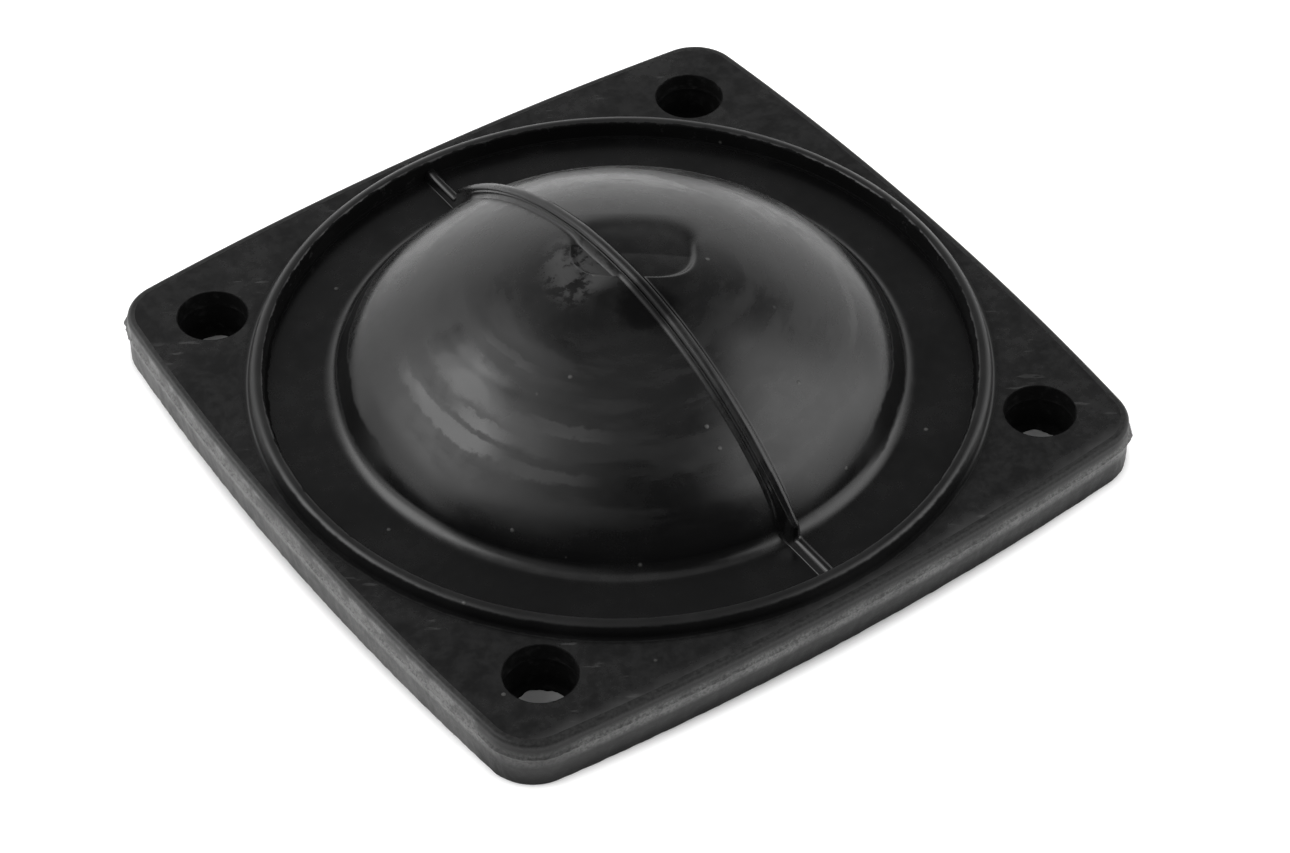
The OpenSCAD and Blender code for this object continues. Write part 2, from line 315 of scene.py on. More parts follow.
def flange_outline():
    """Closed outline of the flange, counter-clockwise: points and outward normals.
    Each side is an arc about a far centre; each corner is an arc that touches two sides."""
    corner_half = HALF_W - SIDE_BOW
    side_r = (corner_half ** 2 + SIDE_BOW ** 2) / (2 * SIDE_BOW)
    far = side_r - HALF_W
    reach = side_r - CORNER_R
    corner = (math.sqrt(2 * reach ** 2 - far ** 2) - far) / 2
    turn = math.degrees(math.atan2(corner, corner + far))
    side = ((-far, 0), side_r, -turn, turn, 320)
    bend = ((corner, corner), CORNER_R, turn, 90 - turn, 56)
    points = np.concatenate([arc(*piece)[:-1] for piece in (side, bend)])
    normals = np.concatenate([arc((0, 0), 1, *piece[2:])[:-1] for piece in (side, bend)])
    loops = [(points @ quarter_turn(k), normals @ quarter_turn(k)) for k in range(4)]
    return np.concatenate([p for p, _ in loops]), np.concatenate([m for _, m in loops])


def quarter_turn(k):
    """Turns row vectors by k quarter turns, counter-clockwise."""
    c, s = ((1, 0), (0, 1), (-1, 0), (0, -1))[k]
    return np.array(((c, s), (-s, c)), float)


def circle(centre, radius, count, clockwise=False):
    """Closed circle: points and the normals that point away from its centre."""
    angles = np.linspace(0, 2 * math.pi, count, endpoint=False)
    if clockwise:
        angles = -angles
    normals = np.column_stack((np.cos(angles), np.sin(angles)))
    return np.asarray(centre, float) + radius * normals, normals


def fade(value, start, end):
    """A straight ramp from 0 at start to 1 at end, and level beyond them."""
    return np.clip((value - start) / (end - start), 0, 1)


def bumps(points, wavelength, seed):
    """Smooth noise from about -1 to 1, one value per point."""
    shift = Vector((seed, 3.7 * seed, -1.9 * seed))
    return np.array([noise.noise(Vector(p) / wavelength + shift) for p in points.tolist()])


# Meshes

def make_mesh(name, points, faces, material):
    mesh = bpy.data.meshes.new(name)
    mesh.from_pydata((np.asarray(points) * MM).tolist(), [], faces)
    mesh.materials.append(material)
    mesh.shade_smooth()
    obj = bpy.data.objects.new(name, mesh)
    bpy.context.scene.collection.objects.link(obj)
    return obj


def grid_faces(rows, columns, wrap):
    """Quads over a grid of points. Their front side is where (next row) x (next column) points."""
    width = columns if wrap else columns - 1
    i, j = np.meshgrid(np.arange(rows - 1), np.arange(width), indexing="ij")
    after = (j + 1) % columns
    row = i * columns
    below = row + columns
    return np.stack((row + j, below + j, below + after, row + after), -1).reshape(-1, 4).tolist()


def revolved(profile, count):
    """Points of a half section turned about the Z axis, row by row."""
    angles = np.linspace(0, 2 * math.pi, count, endpoint=False)
    x = profile[:, None, 0] * np.cos(angles)
    y = profile[:, None, 0] * np.sin(angles)
    z = np.repeat(profile[:, 1:], count, axis=1)
    return np.stack((x, y, z), -1).reshape(-1, 3)


def revolved_mesh(name, profile, count, material, reshape=None):
    """A surface of revolution. Where the profile starts or ends on the axis, a fan of triangles closes it."""
    starts = profile[0][0] < 1e-6
    ends = profile[-1][0] < 1e-6
    open_part = profile[(1 if starts else 0):(-1 if ends else None)]
    points = revolved(open_part, count)
    faces = grid_faces(len(open_part), count, True)
    poles = []
    if starts:
        poles.append((0.0, 0.0, profile[0][1]))
        faces += [[len(points), j, (j + 1) % count] for j in range(count)]
    if ends:
        last = len(points) - count
        pole = len(points) + len(poles)
        poles.append((0.0, 0.0, profile[-1][1]))
        faces += [[pole, last + (j + 1) % count, last + j] for j in range(count)]
    if poles:
        points = np.concatenate((points, poles))
    if reshape:
        points = reshape(points)
    return make_mesh(name, points, faces, material)


def face_mesh(name, outer, circles, z, material, upward):
    """A flat face inside a closed outline and outside circles, each given as (centre, radius, points)."""
    loops = [outer] + [points for _, _, points in circles]
    flat = []
    edges = []
    for loop in loops:
        first = len(flat)
        flat += [Vector(p) for p in loop.tolist()]
        edges += [(first + i, first + (i + 1) % len(loop)) for i in range(len(loop))]
    verts, _, triangles, *_ = delaunay_2d_cdt(flat, edges, [], 1, 1e-6)
    at = np.array([tuple(v) for v in verts])
    centres = at[np.array(triangles)].mean(axis=1)
    kept = np.ones(len(triangles), bool)
    for centre, radius, _ in circles:
        kept &= np.linalg.norm(centres - np.asarray(centre), axis=1) > radius
    faces = [list(t) if upward else list(t)[::-1] for t, keep in zip(triangles, kept) if keep]
    points = np.column_stack((at, np.full(len(at), z)))
    return make_mesh(name, points, faces, material)


# Rubber

def imprint_depth_at(x, y):
    """How far the stud head's mark moves the dome's top at a place: a soft lip round a sunk patch."""
    a = math.radians(CAMERA_AZIMUTH)
    right = x * math.cos(a) + y * math.sin(a) - IMPRINT_RIGHT
    back = y * math.cos(a) - x * math.sin(a) - IMPRINT_BACK
    n = IMPRINT_SQUARENESS
    out = (np.abs(right / IMPRINT_HALF_WIDTH) ** n + np.abs(back / IMPRINT_HALF_DEPTH) ** n) ** (1 / n)
    distance = (out - 1) * IMPRINT_HALF_DEPTH
    ahead = -back / np.maximum(np.hypot(right, back), 0.1)
    softness = IMPRINT_WALL - 0.05 * fade(ahead, 0, 1) + 0.9 * fade(back, 0, IMPRINT_HALF_DEPTH) ** 2
    depth = IMPRINT_DEPTH * np.clip(0.85 - 0.7 * back / IMPRINT_HALF_DEPTH, 0.1, 1)
    sunk = -depth / (1 + np.exp(np.clip(distance / softness, -40, 40)))
    lip = IMPRINT_LIP * np.clip(ahead, 0.1, 1) * np.exp(-np.maximum(distance, 0) / IMPRINT_LIP_WIDTH)
    return sunk + lip / (1 + np.exp(np.clip(-distance / softness, -40, 40)))


def dented(points):
    """Moves the dome's points for the imprint and for the moulding's slight waves."""
    x, y = points[:, 0], points[:, 1]
    r = np.hypot(x, y)
    depth = imprint_depth_at(x, y) * fade(r, 16, 10)
    beside_bead = np.maximum(fade(x, -0.5, -2.5), 0.15)
    uneven = TOP_BUMPS * bumps(points, 1.7, 4.0) * fade(r, 8, 4) * beside_bead
    waves = DOME_WAVES * bumps(points, 9.0, 1.0) * fade(r, 27, 21)
    around = np.arctan2(y, -x)
    polar = np.column_stack((r / 2.2, around * 1.5, np.zeros(len(r))))
    left = np.exp(-((around + 0.35) / 0.75) ** 2)
    flow = fade(r, 9, 13) * fade(r, 24.5, 21.5) * (0.12 + 0.88 * left)
    streaks = DOME_STREAKS * np.clip(bumps(polar, 1.0, 6.0) * 2.2, -0.5, 0.5) * flow
    points[:, 2] += depth + uneven + waves + streaks
    return points


def ring_waves(points):
    """A hand-made mould's unevenness along the ring's crest."""
    raised = fade(points[:, 2], FLANGE_T, RING_TOP)
    points[:, 2] += RING_WAVES * raised * bumps(points, 5.0, 7.0)
    return points


def spaced(points, count):
    """The same polyline with evenly spaced points."""
    steps = np.linalg.norm(np.diff(points, axis=0), axis=1)
    along = np.concatenate(([0], np.cumsum(steps)))
    at = np.linspace(0, along[-1], count)
    return np.column_stack((np.interp(at, along, points[:, 0]), np.interp(at, along, points[:, 1])))


def bead_paths():
    """The bead's foot and crest over one half, from the apex to the ring, as (y, z) points that pair up."""
    centre, start, end = touching_shoulder()
    foot = [
        (joined(arc((0, DOME_Z), DOME_R, 90, start, 60), arc(centre, SHOULDER_R, start, end, 30)), 200),
        (joined(arc((FOOT_X, ANNULUS_Z + DOME_FOOT_R), DOME_FOOT_R, end + 180, 270, 24)), 26),
        (line((FOOT_X, ANNULUS_Z), (RING_IN + SEAM, ANNULUS_Z), 2), 16),
    ]
    top = APEX_Z + BEAD_TOP_H
    low = ANNULUS_Z + BEAD_H
    rise = top - low - BEAD_STEP
    crest_r = (FOOT_X ** 2 + rise ** 2) / (2 * rise)
    fall = math.degrees(math.acos((FOOT_X - 0.35) / crest_r))
    turn_z = top - crest_r + crest_r * math.sin(math.radians(fall)) - BEAD_END_R
    end_x = FOOT_X + 0.02
    step_x = FOOT_X + 0.05
    step_r = BEAD_STEP_FOOT_R
    crest = [
        (arc((0, top - crest_r), crest_r, 90, fall, 90), 200),
        (joined(
            arc((end_x - BEAD_END_R, turn_z), BEAD_END_R, fall, 0, 8),
            line((end_x, turn_z - 0.03), (step_x, low + step_r), 4),
            arc((step_x + step_r, low + step_r), step_r, 180, 270, 8),
        ), 26),
        (line((step_x + step_r, low), (RING_IN + SEAM, low), 2), 16),
    ]
    feet = np.concatenate([spaced(p, n)[:-1] for p, n in foot] + [foot[-1][0][-1:]])
    crests = np.concatenate([spaced(p, n)[:-1] for p, n in crest] + [crest[-1][0][-1:]])
    return feet, crests


def bead_points():
    """Points of the sealing bead, row by row from the -Y end to the +Y end; each row runs from +X to -X."""
    feet, crests = [np.concatenate((path[:0:-1] * (-1, 1), path)) for path in bead_paths()]
    along = np.gradient(feet, axis=0)
    along /= np.linalg.norm(along, axis=1)[:, None]
    outward = np.column_stack((-along[:, 1], along[:, 0]))
    upward = crests - feet
    upward /= np.linalg.norm(upward, axis=1)[:, None]
    half = BEAD_W / 2
    angles = np.radians(np.linspace(0, 90, 9))
    on_annulus = fade(np.abs(feet[:, 0]), FOOT_X - 1.2, FOOT_X)
    foot_r = BEAD_FOOT_R + (BEAD_LOW_FOOT_R - BEAD_FOOT_R) * on_annulus
    crest_x = half - BEAD_CREST_R * (1 - np.cos(angles))
    crest_d = BEAD_CREST_R * (1 - np.sin(angles))
    narrowing = BEAD_DRAFT * np.linalg.norm(crests - feet, axis=1)
    # How steeply the dome falls away on both sides of the bead
    steepness = np.abs(outward[:, 0]) / np.maximum(np.abs(feet[:, 0]), 1.0)
    steepness[np.abs(feet[:, 0]) < 1.0] = 1 / DOME_R
    columns = []
    for side in (1, -1):
        lower = []
        for angle in angles:
            x = half + foot_r * (1 - math.sin(angle))
            h = foot_r * (1 - math.cos(angle)) - BEAD_SUNK
            sag = 0.5 * x * x * steepness
            at = feet + h[:, None] * upward - sag[:, None] * outward
            weight = 1 - h / foot_r
            lift = imprint_depth_at(side * x, at[:, 0]) * (np.abs(at[:, 0]) < 14) * weight
            lower.append(np.column_stack((side * x, at[:, 0], at[:, 1] + lift)))
        upper = []
        for x, d in zip(crest_x, crest_d):
            at = crests - d * upward
            upper.append(np.column_stack((side * (x - narrowing), at)))
        strip = lower + upper
        columns += strip if side == 1 else strip[::-1]
    points = np.stack(columns, axis=1)
    rows, count = points.shape[:2]
    raised = np.concatenate((1 - np.cos(angles), np.ones(len(angles))))
    weight = np.tile(np.concatenate((raised, raised[::-1])), rows)
    return uneven_bead(points.reshape(-1, 3), weight), rows, count


def uneven_bead(points, weight):
    """The bead's points, moved by a hand-made mould's unevenness and turned with the whole bead."""
    points[:, 0] += BEAD_WAVES_ACROSS * weight * bumps(points * (0, 1, 0), 3.5, 2.0)
    points[:, 2] += BEAD_WAVES_UP * weight * bumps(points * (0, 1, 0), 2.6, 5.0)
    turn = math.radians(BEAD_TURN)
    x = points[:, 0] * math.cos(turn) - points[:, 1] * math.sin(turn)
    y = points[:, 0] * math.sin(turn) + points[:, 1] * math.cos(turn)
    return np.column_stack((x, y, points[:, 2]))


def edge_profile():
    """Section of the flange's edge, from the face down to the back, as (outward from the outline, z)."""
    drafted = -EDGE_DRAFT
    below = -0.02
    return joined(
        line((drafted - EDGE_R - SEAM, FLANGE_T), (drafted - EDGE_R, FLANGE_T), 2),
        arc((drafted - EDGE_R, FLANGE_T - EDGE_R), EDGE_R, 90, 0, 9),
        line((drafted, FLANGE_T - EDGE_R), (-0.01, PARTING_Z + 0.3), 5),
        np.array(((0.0, PARTING_Z + 0.14), (0.6 * FLASH, PARTING_Z + 0.06))),
        np.array(((FLASH, PARTING_Z), (0.5 * FLASH, PARTING_Z - 0.08))),
        line((below, PARTING_Z - 0.2), (below, BACK_EDGE_R), 12),
        arc((below - BACK_EDGE_R, BACK_EDGE_R), BACK_EDGE_R, 0, -90, 6),
        line((below - BACK_EDGE_R, 0), (-BACK_EDGE_R - SEAM, 0), 2),
    )


def edge_points(points, normals):
    """Points of the flange's edge, from the face down to the back: ragged at the parting, worn below it."""
    rows = []
    for offset, z in edge_profile():
        at = np.column_stack((points, np.full(len(points), z)))
        flash = math.exp(-((z - PARTING_Z) / FLASH_THICKNESS) ** 2)
        worn = 1.0 if 0.1 < z < PARTING_Z - 0.15 else 0.0
        ragged = 0.5 + 0.5 * bumps(at, 1.6, 3.0) + 0.55 * bumps(at, 0.5, 8.0)
        grown = offset + FLASH_RAGGED * flash * np.clip(ragged, 0, 1.4)
        grown = grown + worn * (EDGE_WAVES * bumps(at, 1.1, 6.0) + EDGE_GRAIN * bumps(at, 0.45, 9.0))
        for corner, size in FLASH_NIBS:
            tip = np.array(corner) * (HALF_W - SIDE_BOW - 0.8)
            away = np.linalg.norm(points - tip, axis=1)
            grown = grown + size * flash * np.exp(-(away / NIB_WIDTH) ** 2) * np.clip(ragged, 0.2, 1.4)
        rows.append(np.column_stack((points + normals * grown[:, None], at[:, 2])))
    return np.concatenate(rows), len(rows)


def hole_profile():
    """Section of a bolt hole's wall, from the face to the back, as (outward from its radius, z)."""
    r = HOLE_EDGE_R
    return joined(
        line((r + HOLE_SEAM, FLANGE_T), (r, FLANGE_T), 2),
        arc((r, FLANGE_T - r), r, 90, 180, 5),
        line((0, FLANGE_T - r), (0, PARTING_Z + 0.16), 4),
        np.array(((-0.03, PARTING_Z + 0.05), (-0.05, PARTING_Z), (-0.03, PARTING_Z - 0.06))),
        line((0.02, PARTING_Z - 0.18), (0.02, 0.3), 6),
        np.array(((-0.2, 0.2), (-HOLE_WEB, 0.12), (-HOLE_WEB, 0.06), (-0.2, 0.0))),
        line((r + 0.03, 0), (r + SEAM, 0), 2),
    )


def hole_points(centre, seed):
    """Points of a bolt hole's wall: ragged flash at the parting, and a thin uneven web at the back."""
    points, normals = circle(centre, HOLE_R, HOLE_POINTS, clockwise=True)
    rows = []
    for offset, z in hole_profile():
        at = np.column_stack((points, np.full(len(points), z)))
        flash = math.exp(-((z - PARTING_Z) / HOLE_FLASH_THICKNESS) ** 2)
        ragged = 0.4 + 0.7 * bumps(at, 2.4, seed) + 0.5 * bumps(at, 0.6, seed + 5)
        grown = offset - HOLE_FLASH * flash * np.clip(ragged, 0, 1.6)
        if offset < -HOLE_WEB / 2:
            grown = offset * (0.85 + 0.4 * bumps(at, 2.0, seed + 9) + 0.15 * bumps(at, 0.6, seed + 2))
        rows.append(np.column_stack((points + normals * grown[:, None], at[:, 2])))
    return np.concatenate(rows), len(rows)


def holed_face(name, outline, hole_r, inner_r, inner_points, z, material, upward):
    """The flange's face or back: inside an outline, outside the four bolt holes and a middle circle."""
    circles = [(centre, hole_r, circle(centre, hole_r, HOLE_POINTS)[0]) for centre in HOLE_CENTRES]
    circles.append(((0, 0), inner_r, circle((0, 0), inner_r, inner_points)[0]))
    return face_mesh(name, outline, circles, z, material, upward)


def make_rubber(rubber, back_rubber, edge_rubber, bore_rubber):
    pieces = [
        revolved_mesh("rubber_dome", dome_profile(), 540, rubber, dented),
        revolved_mesh("rubber_ring", ring_profile(), 720, rubber, ring_waves),
        revolved_mesh("rubber_hollow", hollow_profile(), 240, back_rubber),
    ]
    points, rows, count = bead_points()
    pieces.append(make_mesh("rubber_bead", points, grid_faces(rows, count, False), rubber))

    outline, normals = flange_outline()
    points, rows = edge_points(outline, normals)
    pieces.append(make_mesh("rubber_edge", points, grid_faces(rows, len(outline), True), edge_rubber))

    for number, centre in enumerate(HOLE_CENTRES):
        points, rows = hole_points(centre, 11.0 * number)
        faces = grid_faces(rows, HOLE_POINTS, True)
        pieces.append(make_mesh(f"rubber_hole_{number + 1}", points, faces, bore_rubber))

    inset = outline - normals * (EDGE_DRAFT + EDGE_R + SEAM)
    hole_r = HOLE_R + HOLE_EDGE_R + HOLE_SEAM
    pieces.append(holed_face("rubber_face", inset, hole_r, RING_SEAM_OUT, 720, FLANGE_T, rubber, True))
    inset = outline - normals * (BACK_EDGE_R + SEAM)
    hole_r = HOLE_R + SEAM + HOLE_EDGE_R
    mouth_r = hollow_profile()[0][0]
    pieces.append(holed_face("rubber_back", inset, hole_r, mouth_r, 240, 0.0, back_rubber, False))

    for piece in pieces:
        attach(piece, "root")
        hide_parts("diaphragm")


# Stud

def make_stud(material):
    """A machine stud: plain neck, rolled thread with a chamfered end, its head hidden in the boss."""
    thread_top = BOSS_Z - STUD_NECK_L
    down = np.arange(thread_top, STUD_END_Z, -THREAD_PITCH / 14)
    profile = joined(
        line((STUD_NECK_R, BOSS_Z + SEAM), (STUD_NECK_R, thread_top + 0.35), 3),
        np.column_stack((np.full(len(down), STUD_R), down)),
        line((STUD_R, STUD_END_Z), (0, STUD_END_Z), 8),
    )

    def threaded(points):
        angle = np.arctan2(points[:, 1], points[:, 0])
        r = np.hypot(points[:, 0], points[:, 1])
        phase = (points[:, 2] / THREAD_PITCH - angle / (2 * math.pi)) % 1.0
        tooth = np.clip(2.4 * np.abs(phase - 0.5) - 0.15, 0, 1)
        runout = np.clip((thread_top - points[:, 2]) / 0.9, 0, 1)
        major = STUD_R - THREAD_DEPTH * (tooth * runout)
        chamfer = STUD_R - STUD_CHAMFER + (points[:, 2] - STUD_END_Z)
        limit = np.minimum(major, chamfer)
        scale = np.where(r > 1e-9, np.minimum(1.0, limit / np.maximum(r, 1e-9)), 1.0)
        points[:, :2] *= scale[:, None]
        return points

    stud = revolved_mesh("stud_threaded", profile, 96, material, threaded)
    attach(stud, "root")
    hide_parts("stud")


# Materials

class Nodes:
    """Short calls for building a node tree."""

    def __init__(self, tree):
        self.tree = tree
        tree.nodes.clear()

    def add(self, kind, settings=None, **inputs):
        node = self.tree.nodes.new(kind)
        for name, value in (settings or {}).items():
            setattr(node, name, value)
        for name, value in inputs.items():
            self.feed(node.inputs[name.replace("_", " ")], value)
        return node

    def feed(self, socket, value):
        if isinstance(value, bpy.types.NodeSocket):
            self.tree.links.new(value, socket)
        else:
            socket.default_value = value

    def math(self, operation, a, b=0.0):
        node = self.tree.nodes.new("ShaderNodeMath")
        node.operation = operation
        self.feed(node.inputs[0], a)
        self.feed(node.inputs[1], b)
        return node.outputs[0]

    def fold(self, operation, values):
        """Several values taken together, one after the other."""
        result, *others = values
        for value in others:
            result = self.math(operation, result, value)
        return result

    def total(self, *values):
        return self.fold("ADD", values)

    def product(self, *values):
        return self.fold("MULTIPLY", values)

    def most(self, *values):
        return self.fold("MAXIMUM", values)

    def less(self, value, taken):
        return self.math("SUBTRACT", value, taken)

    def weighed(self, *pairs):
        """The sum of several values, each given with its weight."""
        return self.total(*[self.product(value, weight) for value, weight in pairs])

    def size(self, value):
        """A value without its sign."""
        return self.math("ABSOLUTE", value)

    def away(self, value, level):
        """How far a value is from a level, up or down."""
        return self.size(self.less(value, level))

    def length(self, x, y):
        return self.math("SQRT", self.total(self.product(x, x), self.product(y, y)))

    def span(self, value, low, high, out_low=0.0, out_high=1.0):
        """A smooth step: value from low to high gives out_low to out_high."""
        node = self.tree.nodes.new("ShaderNodeMapRange")
        node.interpolation_type = "SMOOTHSTEP"
        for socket, number in zip(node.inputs, (value, low, high, out_low, out_high)):
            self.feed(socket, number)
        return node.outputs[0]

    def noise(self, place, wavelength, detail=2.0, roughness=0.5):
        scale = 1 / wavelength
        node = self.add("ShaderNodeTexNoise", Vector=place, Scale=scale, Detail=detail, Roughness=roughness)
        return node.outputs[0]

    def blend(self, share, first, second):
        """One colour or the other, by a share from 0 to 1. A colour is a socket or red, green and blue."""
        node = self.add("ShaderNodeMix", {"data_type": "RGBA"})
        self.feed(node.inputs[0], share)
        for socket, colour in ((node.inputs[6], first), (node.inputs[7], second)):
            self.feed(socket, colour if isinstance(colour, bpy.types.NodeSocket) else (*colour, 1.0))
        return node.outputs[2]

    def between(self, share, first, second):
        """A number between two others, by a share from 0 to 1."""
        node = self.add("ShaderNodeMix", {"data_type": "FLOAT"})
        for number, value in ((0, share), (2, first), (3, second)):
            self.feed(node.inputs[number], value)
        return node.outputs[0]

    def bump(self, height, depth, normal=None):
        """A bump whose full height is depth millimetres."""
        node = self.add("ShaderNodeBump", Height=height, Distance=depth * MM, Strength=1.0)
        if normal:
            self.feed(node.inputs["Normal"], normal)
        return node.outputs[0]

    def place_mm(self):
        """Object coordinates in millimetres."""
        place = self.add("ShaderNodeTexCoord").outputs["Object"]
        scaled = self.add("ShaderNodeVectorMath", {"operation": "SCALE"}, Scale=1 / MM)
        self.feed(scaled.inputs[0], place)
        return scaled.outputs[0]

    def split(self, place):
        """The X, Y and Z of a place."""
        return tuple(self.add("ShaderNodeSeparateXYZ", Vector=place).outputs)

    def end(self, shader, kind="ShaderNodeOutputMaterial"):
        output = self.add(kind)
        self.tree.links.new(shader.outputs[0], output.inputs["Surface"])

    def surface(self, colour, rough, normal, **others):
        """Ends a material's tree with its shader."""
        looks = {"Base_Color": colour, "Roughness": rough, "Normal": normal, **others}
        self.end(self.add("ShaderNodeBsdfPrincipled", **looks))


class RubberNodes(Nodes):
    """The node tree of the rubber's upper side, with the places and patterns that its masks share."""

    def __init__(self, tree):
        super().__init__(tree)
        self.place = self.place_mm()
        self.x, self.y, _ = self.split(self.place)
        self.radius = self.length(self.x, self.y)
        self.angle = self.math("ARCTAN2", self.y, self.product(self.x, -1.0))
        self.frontward = self.weighed((self.x, FRONT[0]), (self.y, FRONT[1]))
        self.sideward = self.weighed((self.x, RIGHT[0]), (self.y, RIGHT[1]))
        self.cloud = self.noise(self.place, 7.0, 3.0)
        self.mottle = self.noise(self.place, 1.5, 4.0, 0.65)
        self.jag = self.product(self.less(self.mottle, 0.5), 0.7)


def new_material(name, nodes=Nodes):
    material = bpy.data.materials.new(name)
    material.use_nodes = True
    return material, nodes(material.node_tree)


def flow_marks(n, radius, marks):
    """Mask of several marks on the dome, each an arc round the apex with soft ends."""
    masks = []
    for at, half_width, first, last in marks:
        across = n.span(n.away(radius, at), half_width * 1.2, half_width * 0.6)
        begun = n.span(n.angle, first - 0.12, first + 0.1)
        not_ended = n.span(n.angle, last + 0.12, last - 0.1)
        masks.append(n.product(across, begun, not_ended))
    return n.most(*masks)


def flow_masks(n):
    """Masks of the dome's clean and smeared flow marks, of the dull rubber round them, and of haze."""
    polar = n.add("ShaderNodeCombineXYZ", X=n.product(n.radius, 0.4), Y=n.product(n.angle, 1.3), Z=0.0)
    flow = n.noise(polar.outputs[0], 1.0, 4.0, 0.6)
    wavy = n.total(n.radius, n.product(n.less(flow, 0.45), 2.0), n.product(n.less(n.mottle, 0.5), 1.1))
    on_dome = n.span(n.radius, 26.0, 22.5)
    on_left = n.span(n.away(n.angle, -0.1), 1.1, 0.5)
    clean = flow_marks(n, wavy, CLEAN_MARKS)
    smeared = flow_marks(n, wavy, SMEARED_MARKS)
    dull = n.product(n.span(n.radius, 9.0, 14.0), on_dome, on_left)
    hazy = n.product(n.span(flow, 0.56, 0.4), on_dome, n.span(n.radius, 6.0, 12.0))
    return clean, smeared, dull, hazy


def dust_and_highlight_mask(n):
    """Dust on the face and the ring's crest and thinly elsewhere, and a painted highlight in a band round the
    dome's foot on the camera's side.
    """
    face = n.span(n.radius, RING_OUT + 0.1, RING_OUT + 0.9)
    face = n.product(face, n.span(n.mottle, 0.35, 0.65, 0.35, 1.1))
    crest = n.product(n.span(n.away(n.radius, RING_IN + RING_CREST_INNER_R), 0.4, 0.15), 0.35)
    # A pale band round the dome's foot, on the camera's side only: a painted highlight.
    foot = n.product(n.span(n.radius, 26.4, 26.7), n.span(n.radius, 27.3, 27.0))
    foot = n.product(foot, n.span(n.frontward, -6.0, 6.0), n.span(n.mottle, 0.3, 0.7, 0.3, 0.9))
    return n.total(n.most(face, crest, foot), n.span(n.cloud, 0.45, 0.8, 0.0, 0.2))


def dark_feet_mask(n):
    """Where little light comes: the ring's inner foot, its outer foot on the camera's side, and the dome's
    foot at the photograph's left and right."""
    inner = n.span(n.away(n.total(n.radius, n.jag), RING_IN - 0.1), 0.28, 0.16)
    outer = n.span(n.away(n.total(n.radius, n.product(n.jag, 0.35)), RING_OUT), 0.5, 0.2)
    outer = n.product(outer, n.span(n.frontward, 5.0, 20.0))
    wavy = n.total(n.radius, n.product(n.less(n.cloud, 0.5), 1.2), n.product(n.jag, 0.4))
    at_ends = n.math("DIVIDE", n.size(n.sideward), n.most(n.radius, 1.0))
    dome_foot = n.product(n.span(n.away(wavy, DARK_FOOT_R), 0.75, 0.45), n.span(at_ends, 0.78, 0.98))
    return n.most(inner, outer, dome_foot)


def stain_mask(n):
    """The dome's top is stained beside the bead, on the -X side."""
    beside_bead = n.product(n.span(n.radius, 8.0, 5.0), n.span(n.x, -0.3, -0.9), n.span(n.y, -2.5, -0.5))
    return n.product(beside_bead, n.span(n.mottle, 0.42, 0.56))


def shade_patch_mask(n):
    """A patch in front of the imprint mirrors less than the rest: painted shade in front of the imprint."""
    away = n.add("ShaderNodeVectorMath", {"operation": "DISTANCE"}, Vector=n.place)
    away.inputs[1].default_value = SHADE_PATCH_AT
    return n.span(n.total(away.outputs["Value"], n.product(n.jag, 2.5)), 3.8, 1.6)


def rubbed_mask(n):
    """The face's edge on the -Y side is rubbed paler over a few millimetres."""
    bow = n.product(n.x, n.x, SIDE_BOW / (HALF_W - SIDE_BOW) ** 2)
    inside = n.less(n.total(n.y, HALF_W), bow)
    return n.product(n.span(inside, 2.2, 0.1), n.span(n.cloud, 0.3, 0.6, 0.3, 1.0))


def scuff_mask(n):
    """Short pale scuffs on the face, all in about the same direction, in a few patches."""
    turn = (0, 0, math.radians(CAMERA_AZIMUTH))
    stretched = n.add(
        "ShaderNodeMapping", {"vector_type": "TEXTURE"}, Vector=n.place, Rotation=turn, Scale=(3.0, 0.7, 1.0),
    )
    strokes = n.span(n.noise(stretched.outputs[0], 1.0, 2.0, 0.5), 0.62, 0.72)
    patches = n.span(n.noise(n.place, 7.0, 1.0), 0.5, 0.6)
    return n.product(strokes, patches, n.span(n.radius, RING_OUT + 0.3, RING_OUT + 0.9))


def speck_mask(n):
    """Dust and lint: small dots in a few of the cells of a Voronoi pattern."""
    cells = n.add("ShaderNodeTexVoronoi", Vector=n.place, Scale=1 / 2.6)
    dot = n.span(cells.outputs["Distance"], 0.1, 0.02)
    lot = n.add("ShaderNodeSeparateColor", Color=cells.outputs["Color"]).outputs[0]
    return n.product(dot, n.span(lot, 0.80, 0.84))


